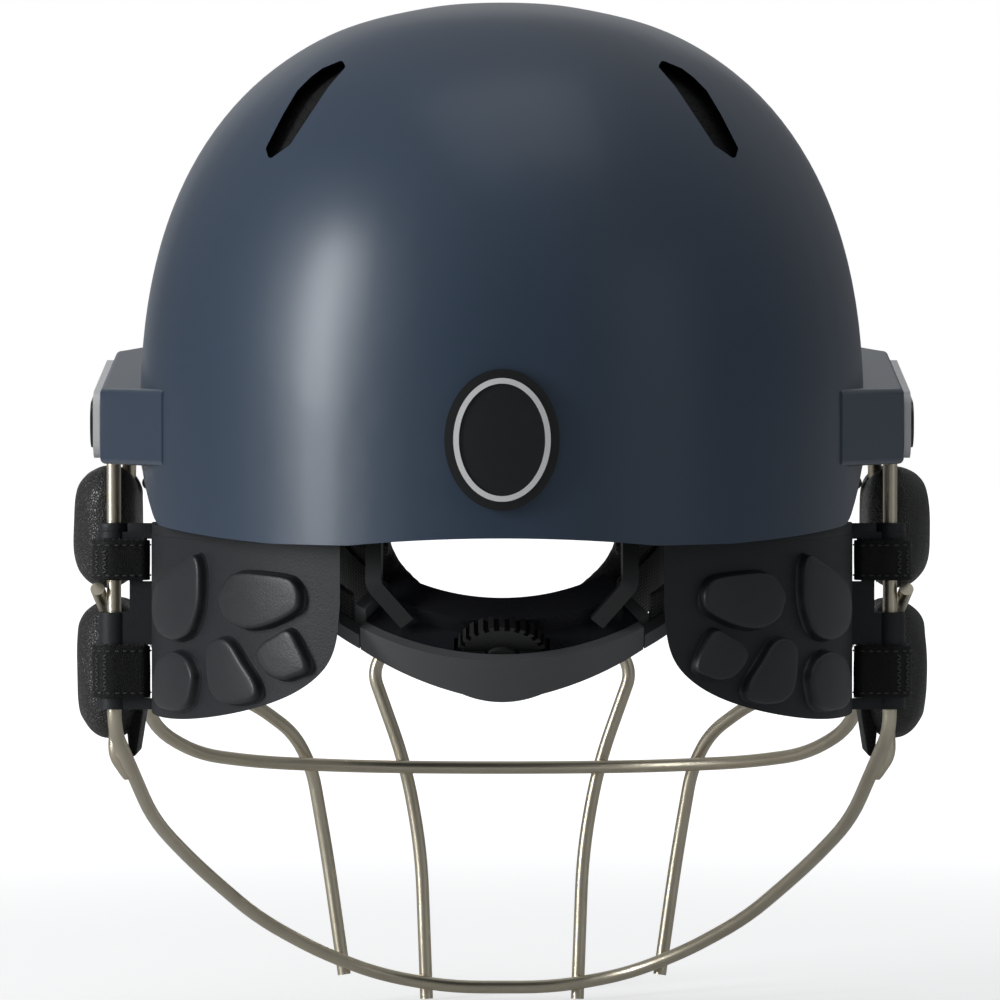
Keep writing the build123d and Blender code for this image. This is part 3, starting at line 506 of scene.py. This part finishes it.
class StrapLoop:
    # the belt line round the bar and the flange, seen from above
    def __init__(self, cfg):
        self.a = Vector((-cfg["barX"], 0))
        self.b = Vector((-cfg["endX"], cfg["endY"]))
        self.big = cfg["barRadius"]
        self.small = cfg["endRadius"]
        along = self.b - self.a
        gap = along.length
        self.heading = math.atan2(along.y, along.x)
        self.beta = math.acos((self.big - self.small) / gap)
        self.straight = math.sqrt(gap ** 2 - (self.big - self.small) ** 2)
        self.bigArc = self.big * (math.tau - 2 * self.beta)
        self.smallArc = self.small * 2 * self.beta
        self.length = self.bigArc + self.smallArc + 2 * self.straight

    def at(self, s, lift):
        s = s % self.length
        start = self.heading + self.beta
        end = self.heading - self.beta
        if s < self.bigArc:
            turn = start + s / self.big
            out = Vector((math.cos(turn), math.sin(turn)))
            return self.a + out * (self.big + lift)
        s -= self.bigArc
        if s < self.straight:
            out = Vector((math.cos(end), math.sin(end)))
            foot = self.a + out * self.big
            head = self.b + out * self.small
            return foot.lerp(head, s / self.straight) + out * lift
        s -= self.straight
        if s < self.smallArc:
            turn = end + s / self.small
            out = Vector((math.cos(turn), math.sin(turn)))
            return self.b + out * (self.small + lift)
        s -= self.smallArc
        out = Vector((math.cos(start), math.sin(start)))
        foot = self.b + out * self.small
        head = self.a + out * self.big
        return foot.lerp(head, s / self.straight) + out * lift


def strapSheet(cfg, loop, low, high, lift, jag, side, seed):
    # a sheet once round the loop; jag frays its upper edge
    bm = bmesh.new()
    bmesh.ops.create_grid(bm, x_segments=cfg["gridAlong"], y_segments=cfg["gridUp"], size=0.5)
    dice = random.Random(seed)
    waveAlong, waveUp = cfg["waveScale"]
    for v in bm.verts:
        s = (v.co.x + 0.5) * loop.length
        up = v.co.y + 0.5
        z = low + (high - low) * up
        if jag and up > cfg["topRow"]:
            z += jag * dice.random()
        wave = cfg["wave"] * noise.noise(Vector((s * waveAlong, z * waveUp, seed)))
        spot = loop.at(s, lift + wave)
        v.co = Vector((spot.x * -side, spot.y, z))
    bmesh.ops.remove_doubles(bm, verts=bm.verts, dist=cfg["weldGap"])
    bmesh.ops.recalc_face_normals(bm, faces=bm.faces)
    return bm


def addStitch(bm, middle, along, up, cfg):
    # one thread stitch: a stretched bead lying on the leather
    made = bmesh.ops.create_icosphere(bm, subdivisions=2, radius=0.5)
    out = along.cross(up).normalized()
    turn = Matrix((along.normalized(), up.normalized(), out)).transposed().to_4x4()
    wide = cfg["stitchWide"]
    size = Matrix.Diagonal((cfg["stitchLong"], wide, wide * cfg["stitchFlat"], 1))
    bmesh.ops.transform(bm, matrix=Matrix.Translation(middle) @ turn @ size, verts=made["verts"])


def thicken(piece, thickness):
    solid = piece.modifiers.new("thickness", "SOLIDIFY")
    solid.thickness = thickness
    solid.offset = -1
    applyModifiers(piece)


def stitchSpot(cfg, loop, s, side):
    # a place on the outside of the leather, and the way along the loop there
    here, there = (loop.at(place, cfg["thick"]) for place in (s, s + cfg["stitchStep"]))
    return here.x * -side, here.y, Vector(((there.x - here.x) * -side, there.y - here.y, 0))


def makeStrap(cfg, level, sideName, side):
    high, low = strapHeights[level]
    loop = StrapLoop(cfg)
    body = sideName + "_guard"
    nodeName = f"{sideName}_{level}_strap"
    bm = strapSheet(cfg, loop, low, high, cfg["thick"] - cfg["sunk"], 0, side, cfg["leatherSeed"])
    strap = addPiece(nodeName + "_leather", bm, "strapLeather", body)
    thicken(strap, cfg["thick"] * cfg["leatherShare"])
    roundEdges(strap, cfg["edge"])
    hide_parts(nodeName)

    bm = strapSheet(cfg, loop, low + cfg["pileLow"], high + cfg["pileHigh"], cfg["thick"] * cfg["pileLift"],
                    cfg["jag"], side, cfg["pileSeed"])
    pile = addPiece(nodeName + "_fuzz", bm, "fuzz", body)
    thicken(pile, cfg["thick"] * cfg["pileShare"])

    stitches = bmesh.new()
    upright = Vector((0, 0, 1))
    for z in (high - cfg["edgeInset"], low + cfg["edgeInset"]):
        for number in range(int(loop.length / cfg["stitchGap"])):
            x, y, along = stitchSpot(cfg, loop, number * cfg["stitchGap"], side)
            addStitch(stitches, Vector((x, y, z)), along, upright, cfg)
    for share in cfg["columns"]:
        x, y, across = stitchSpot(cfg, loop, loop.bigArc * share, side)
        across.normalize()
        steps = int((high - low - 2 * cfg["edgeInset"]) / cfg["columnGap"])
        for number in range(1, steps):
            z = low + cfg["edgeInset"] + number * cfg["columnGap"]
            lean = cfg["slant"] if number % 2 else -cfg["slant"]
            along = (upright * lean + across).normalized()
            addStitch(stitches, Vector((x, y, z)), along, across.cross(upright).cross(along), cfg)
    addPiece(nodeName + "_stitches", stitches, "thread", body)


for sideName, side in sides:
    for level in strapHeights:
        makeStrap(strapShape, level, sideName, side)
print("straps made")


# raised cushions on the neck guards; outlines are places in the photograph
cushionSet = {
    "centre": (0.0074, -0.0040), "radius": 0.1100, "eyeAway": 1.450, "eyeUp": 0.052, "focus": 4.930,
    "middle": (502, 350), "smooth": 6, "lean": 0.0026, "crown": 0.00015, "topRings": (0.75, 0.5, 0.25),
    "farDepth": -0.090, "rounds": 4,
    "levels": [(-0.15, -0.20), (0.05, -0.20), (0.25, 0.05), (0.70, 0.25), (1.50, 0.36), (2.40, 0.48),
               (2.80, 0.68), (3.05, 1.05), (3.15, 1.75)],
    "outlines": [
        [(201, 553), (207, 564), (208, 582), (207, 603), (202, 622), (195, 635), (182, 641), (170, 638),
         (162, 628), (159, 612), (160, 593), (164, 579), (177, 567), (190, 559)],
        [(223, 585), (232, 573), (244, 570), (263, 571), (286, 574), (297, 578), (304, 587), (306, 599),
         (303, 610), (290, 619), (270, 627), (251, 630), (238, 627), (226, 618), (221, 606), (219, 595)],
        [(255, 649), (263, 640), (276, 633), (283, 629), (290, 628), (297, 633), (304, 645), (311, 658),
         (313, 668), (309, 674), (297, 678), (286, 681), (272, 678), (261, 669), (255, 658)],
        [(208, 649), (212, 640), (221, 636), (230, 638), (238, 646), (247, 660), (259, 677), (264, 689),
         (262, 698), (253, 703), (238, 705), (223, 702), (213, 692), (209, 677), (208, 662)],
        [(161, 668), (165, 656), (173, 651), (182, 650), (192, 656), (198, 666), (201, 677), (199, 692),
         (195, 705), (186, 711), (173, 711), (164, 707), (160, 698), (159, 683)],
    ]}


def guardSpot(cfg, place):
    # a place in the photograph, as turn and height on the guard's drum
    depth = cfg["farDepth"]
    for count in range(cfg["rounds"]):
        away = (cfg["eyeAway"] + depth) / cfg["focus"]
        x = (place[0] - cfg["middle"][0]) * away / 1000
        depth = cfg["centre"][1] - math.sqrt(cfg["radius"] ** 2 - (x - cfg["centre"][0]) ** 2)
    z = cfg["eyeUp"] + (cfg["middle"][1] - place[1]) * away / 1000
    turn = math.asin((cfg["centre"][0] - x) / cfg["radius"])
    return Vector((turn * cfg["radius"], z))


def closedCurve(points, steps):
    # a smooth closed curve through the points
    curve = []
    count = len(points)
    for i in range(count):
        a, b, c, d = (points[(i + k - 1) % count] for k in range(4))
        for step in range(steps):
            t = step / steps
            curve.append(0.5 * (2 * b + (c - a) * t + (2 * a - 5 * b + 4 * c - d) * t * t
                                + (3 * b - a - 3 * c + d) * t ** 3))
    return curve


def insetCurve(curve, middle, inset):
    # each place moved square to the curve, towards the middle
    moved = []
    for i, spot in enumerate(curve):
        along = (curve[(i + 1) % len(curve)] - curve[i - 1]).normalized()
        square = Vector((-along.y, along.x))
        if square.dot(middle - spot) < 0:
            square = -square
        moved.append(spot + square * inset)
    return moved


def drumPlace(cfg, spot, rise, side):
    turn = spot.x / cfg["radius"]
    out = cfg["radius"] + rise
    x = cfg["centre"][0] - out * math.sin(turn)
    return Vector((-side * x, cfg["centre"][1] - out * math.cos(turn), spot.y))


def addCushion(bm, cfg, outline, side):
    spots = [guardSpot(cfg, place) for place in outline]
    rightEnd = min(spot.x for spot in spots)
    width = max(spot.x for spot in spots) - rightEnd
    for spot in spots:
        spot.x = rightEnd + (spot.x - rightEnd) * (width - cfg["lean"]) / width
    curve = closedCurve(spots, cfg["smooth"])
    middle = sum(curve, Vector((0, 0))) / len(curve)
    rings = []
    for rise, inset in cfg["levels"]:
        ring = insetCurve(curve, middle, inset / 1000)
        rings.append([bm.verts.new(drumPlace(cfg, spot, rise / 1000, side)) for spot in ring])
    last = insetCurve(curve, middle, cfg["levels"][-1][1] / 1000)
    top = cfg["levels"][-1][0] / 1000
    for share in cfg["topRings"]:
        lift = top + cfg["crown"] * (1 - share)
        rings.append([bm.verts.new(drumPlace(cfg, middle.lerp(spot, share), lift, side)) for spot in last])
    for low, high in zip(rings, rings[1:]):
        for i in range(len(low)):
            bm.faces.new((low[i - 1], low[i], high[i], high[i - 1]))
    bm.faces.new(rings[0])
    tip = bm.verts.new(drumPlace(cfg, middle, top + cfg["crown"], side))
    for i in range(len(rings[-1])):
        bm.faces.new((rings[-1][i - 1], rings[-1][i], tip))


for sideName, side in sides:
    bm = bmesh.new()
    for outline in cushionSet["outlines"]:
        addCushion(bm, cushionSet, outline, side)
    bmesh.ops.recalc_face_normals(bm, faces=bm.faces)
    cushions = addPiece(f"{sideName}_guard_cushions_moulded", bm, "cushion", f"{sideName}_guard")
    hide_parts(f"{sideName}_guard_cushions")
print("cushions made")


# the guards' upper edge, which climbs along the rim towards the ear, with the sleeve's end
lipSet = {"from": 0.062, "full": 0.0985, "endTurn": math.radians(91), "flatFrom": 0.1004,
          "base": -0.0014, "flatTop": 0.0013, "wall": 0.0024, "rise": 0.0031, "curve": 1.25,
          "skin": -0.0001, "flange": (-0.0036, -0.0013), "barX": 0.1142, "sleeve": (0.0022, 0.0045),
          "sleeveSides": 48, "lap": 0.0002, "steps": 28, "edge": 0.0003}


def addBar(bm, lower, upper):
    # a solid strip between a lower and an upper pair of edge lines
    joinRings(bm, [[bm.verts.new(spot) for spot in ring] for ring in zip(*lower, *upper[::-1])])


def makeLip(sideName, side, cfg, drum):
    bm = bmesh.new()
    rows = {"lowIn": [], "lowOut": [], "topIn": [], "topOut": []}
    startTurn = math.asin((drum["centre"][0] + cfg["from"]) / drum["radius"])
    for step in range(cfg["steps"] + 1):
        turn = startTurn + (cfg["endTurn"] - startTurn) * step / cfg["steps"]
        x = drum["radius"] * math.sin(turn) - drum["centre"][0]
        share = min(1, max(0, (x - cfg["from"]) / (cfg["full"] - cfg["from"])))
        top = cfg["base"] + cfg["rise"] * share ** cfg["curve"]
        for row, rise, z in (("lowIn", -cfg["wall"], cfg["base"]), ("lowOut", cfg["skin"], cfg["base"]),
                             ("topIn", -cfg["wall"], top), ("topOut", cfg["skin"], top)):
            rows[row].append(drumPlace(drum, Vector((turn * drum["radius"], z)), rise, side))
    addBar(bm, (rows["lowIn"], rows["lowOut"]), (rows["topIn"], rows["topOut"]))
    back, front = cfg["flange"]
    ends = (cfg["flatFrom"], cfg["barX"] - cfg["sleeve"][1] + cfg["lap"])
    corners = {(z, y): [Vector((side * x, y, z)) for x in ends] for z in (cfg["base"], cfg["flatTop"])
               for y in (front, back)}
    addBar(bm, (corners[cfg["base"], front], corners[cfg["base"], back]),
           (corners[cfg["flatTop"], front], corners[cfg["flatTop"], back]))
    lip = addPiece(f"{sideName}_guard_lip", bm, "guard", f"{sideName}_guard")
    roundEdges(lip, cfg["edge"])


def makeSleeveEnd(sideName, side, cfg):
    # a ring round the bar, over the guard's flange
    bm = bmesh.new()
    inner, outer = cfg["sleeve"]
    turns = [k * math.tau / cfg["sleeveSides"] for k in range(cfg["sleeveSides"])]
    rings = [[bm.verts.new((side * cfg["barX"] + radius * math.cos(turn), radius * math.sin(turn), z))
              for turn in turns]
             for radius, z in ((inner, cfg["base"]), (outer, cfg["base"]),
                               (outer, cfg["flatTop"]), (inner, cfg["flatTop"]))]
    joinRings(bm, rings, closed=True)
    sleeve = addPiece(f"{sideName}_sleeve_end", bm, "guard", f"{sideName}_guard")
    roundEdges(sleeve, cfg["edge"])


for sideName, side in sides:
    makeLip(sideName, side, lipSet, cushionSet)
    makeSleeveEnd(sideName, side, lipSet)
print("guard edges made")


# fabric that closes the sides of the nape: a band behind the neck pad, and a lining on each arm
napeSet = {"origin": (0, -0.05676, 0.014115), "tilt": math.radians(46),
           "band": {"radii": (0.0502, 0.0513), "heights": (-0.0200, 0.0040), "turns": (39.0, 74.0)},
           "lining": {"radii": (0.0633, 0.0646), "heights": (-0.0060, 0.0092), "turns": (39.6, 50.0)},
           "steps": 40, "edge": 0.0004}


def cradlePlace(cfg, radius, turn, height, side):
    # turn is counted from the middle of the nape
    ahead = -radius * math.cos(turn)
    y = cfg["origin"][1] + math.cos(cfg["tilt"]) * ahead - math.sin(cfg["tilt"]) * height
    z = cfg["origin"][2] + math.sin(cfg["tilt"]) * ahead + math.cos(cfg["tilt"]) * height
    return Vector((side * radius * math.sin(turn), y, z))


def makeNapeStrip(name, cfg, strip, side, body):
    bm = bmesh.new()
    start, end = (math.radians(turn) for turn in strip["turns"])
    rows = []
    for height in strip["heights"]:
        rows.append([[cradlePlace(cfg, radius, start + (end - start) * k / cfg["steps"], height, side)
                      for k in range(cfg["steps"] + 1)] for radius in strip["radii"]])
    addBar(bm, rows[0], rows[1])
    roundEdges(addPiece(name, bm, "neckLining", body), cfg["edge"])


for sideName, side in sides:
    makeNapeStrip(f"{sideName}_neck_pad_band", napeSet, napeSet["band"], side, "helmet")
    makeNapeStrip(f"{sideName}_arm_lining", napeSet, napeSet["lining"], side, f"{sideName}_arm")
print("nape fabric made")


# small parts at the foot of the lower pads: a steel lug to the perimeter wire, and a fabric flap
lugSet = {"path": [(0.1148, 0.015, -0.0540), (0.1150, 0.015, -0.0620), (0.1150, 0.015, -0.0675),
                   (0.1135, 0.0165, -0.0712), (0.1108, 0.019, -0.0738)],
          "radius": 0.0021, "sides": 24, "smooth": 5}
flapSet = {"corners": [(0.1150, -0.0300), (0.1070, -0.0300), (0.1071, -0.0560), (0.1092, -0.0692),
                       (0.1112, -0.0692)], "back": 0.018, "front": 0.041, "edge": 0.0010}


def makeLug(sideName, side, cfg):
    # a round bar along a smooth open path
    places = [Vector((side * x, y, z)) for x, y, z in cfg["path"]]
    curve = closedCurve(places, cfg["smooth"])[:(len(places) - 1) * cfg["smooth"] + 1]
    bm = bmesh.new()
    turns = [k * math.tau / cfg["sides"] for k in range(cfg["sides"])]
    rings = []
    for i, spot in enumerate(curve):
        along = (curve[min(i + 1, len(curve) - 1)] - curve[max(i - 1, 0)]).normalized()
        across = along.cross(Vector((0, 1, 0))).normalized()
        up = across.cross(along)
        rings.append([bm.verts.new(spot + (across * math.cos(turn) + up * math.sin(turn)) * cfg["radius"])
                      for turn in turns])
    joinRings(bm, rings)
    addPiece(f"{sideName}_pad_lug", bm, "wire", "helmet")


def makeFlap(sideName, side, cfg):
    bm = bmesh.new()
    joinRings(bm, [[bm.verts.new((side * x, y, z)) for x, z in cfg["corners"]]
                   for y in (cfg["back"], cfg["front"])])
    flap = addPiece(f"{sideName}_ear_flap", bm, "lining", "helmet")
    roundEdges(flap, cfg["edge"], 4)


for sideName, side in sides:
    makeLug(sideName, side, lugSet)
    makeFlap(sideName, side, flapSet)
print("lugs and flaps made")


# studio
lightSet = {
    "key": {"place": (-1.36, -0.66, 0.42), "size": (0.36, 0.95), "power": 15.0, "tone": (0.98, 0.99, 1.0)},
    "fill": {"place": (1.5, -1.1, 0.35), "size": (1.0, 1.2), "power": 1.2, "tone": (0.95, 0.98, 1.0)},
    "top": {"place": (0.1, -0.3, 1.7), "size": (1.2, 1.2), "power": 2.6, "tone": (1.0, 1.0, 1.0)},
    "front": {"place": (-0.2, 1.8, 0.5), "size": (1.4, 1.2), "power": 1.5, "tone": (1.0, 1.0, 1.0)},
}
lightAim = Vector((0, 0, -0.02))


def addLight(name, cfg):
    data = bpy.data.lights.new(name, "AREA")
    data.shape = "RECTANGLE"
    data.size, data.size_y = cfg["size"]
    data.energy = cfg["power"]
    data.color = cfg["tone"]
    lamp = bpy.data.objects.new(name, data)
    scene.collection.objects.link(lamp)
    lamp.location = cfg["place"]
    lamp.rotation_euler = (lightAim - Vector(cfg["place"])).to_track_quat("-Z", "Y").to_euler()


for name, cfg in lightSet.items():
    addLight(name, cfg)


backdropSet = {"lowSky": 0.07, "highSky": 0.36, "skyTone": (0.93, 0.96, 1.0, 1), "glossShare": 0.05,
               "floorGrey": 0.60, "floorHalf": 6, "floorDrop": 0.0002, "nearGlow": 0.62, "farGlow": 1.0,
               "nearEdge": 0.35, "farEdge": 1.1}


def stageNode(tree, kind, settings, inputs):
    made = tree.nodes.new("ShaderNode" + kind)
    for key, value in settings.items():
        setattr(made, key, value)
    for key, value in inputs.items():
        if isinstance(value, bpy.types.NodeSocket):
            tree.links.new(value, made.inputs[key])
        else:
            made.inputs[key].default_value = value
    return made


def seenShare(tree, glossShare):
    # 1 for camera rays, a part of that for reflections and glass
    path = stageNode(tree, "LightPath", {}, {}).outputs
    bounce = stageNode(tree, "Math", {"operation": "MAXIMUM"},
                       {0: path["Is Glossy Ray"], 1: path["Is Transmission Ray"]}).outputs[0]
    weak = stageNode(tree, "Math", {"operation": "MULTIPLY"}, {0: bounce, 1: glossShare}).outputs[0]
    return stageNode(tree, "Math", {"operation": "MAXIMUM"}, {0: path["Is Camera Ray"], 1: weak}).outputs[0]


def addWorld(cfg):
    world = bpy.data.worlds.new("paleStudio")
    scene.world = world
    world.use_nodes = True
    tree = world.node_tree
    tree.nodes.clear()
    way = stageNode(tree, "TexCoord", {}, {}).outputs["Generated"]
    height = stageNode(tree, "SeparateXYZ", {}, {0: way}).outputs["Z"]
    sky = stageNode(tree, "MapRange", {}, {0: height, 1: 0.0, 2: 1.0, 3: cfg["lowSky"], 4: cfg["highSky"]})
    ambient = stageNode(tree, "Background", {}, {"Color": cfg["skyTone"], "Strength": sky.outputs[0]})
    white = stageNode(tree, "Background", {}, {"Color": (1, 1, 1, 1), "Strength": 1.0})
    mix = stageNode(tree, "MixShader", {}, {0: seenShare(tree, cfg["glossShare"]), 1: ambient.outputs[0],
                                            2: white.outputs[0]})
    stageNode(tree, "OutputWorld", {}, {0: mix.outputs[0]})


addWorld(backdropSet)


def addFloor(cfg):
    bm = bmesh.new()
    bmesh.ops.create_grid(bm, x_segments=1, y_segments=1, size=cfg["floorHalf"])
    bmesh.ops.translate(bm, vec=(0, 0, cadBox[0][2] - cfg["floorDrop"]), verts=bm.verts)
    mesh = bpy.data.meshes.new("paleFloor")
    bm.to_mesh(mesh)
    bm.free()
    floor = bpy.data.objects.new("paleFloor", mesh)
    scene.collection.objects.link(floor)
    paper = bpy.data.materials.new("palePaper")
    paper.use_nodes = True
    tree = paper.node_tree
    tree.nodes.clear()
    spot = stageNode(tree, "TexCoord", {}, {}).outputs["Object"]
    away = stageNode(tree, "VectorMath", {"operation": "LENGTH"}, {0: spot}).outputs["Value"]
    glow = stageNode(tree, "MapRange", {"interpolation_type": "SMOOTHSTEP"},
                     {0: away, 1: cfg["nearEdge"], 2: cfg["farEdge"], 3: cfg["nearGlow"], 4: cfg["farGlow"]})
    grey = cfg["floorGrey"]
    matt = stageNode(tree, "BsdfDiffuse", {}, {"Color": (grey, grey, grey, 1)}).outputs[0]
    seen = stageNode(tree, "Emission", {}, {"Color": (1, 1, 1, 1), "Strength": glow.outputs[0]}).outputs[0]
    both = stageNode(tree, "AddShader", {}, {0: matt, 1: seen}).outputs[0]
    mix = stageNode(tree, "MixShader", {}, {0: seenShare(tree, cfg["glossShare"]), 1: matt, 2: both})
    stageNode(tree, "OutputMaterial", {}, {0: mix.outputs[0]})
    mesh.materials.append(paper)


addFloor(backdropSet)
print("studio set")
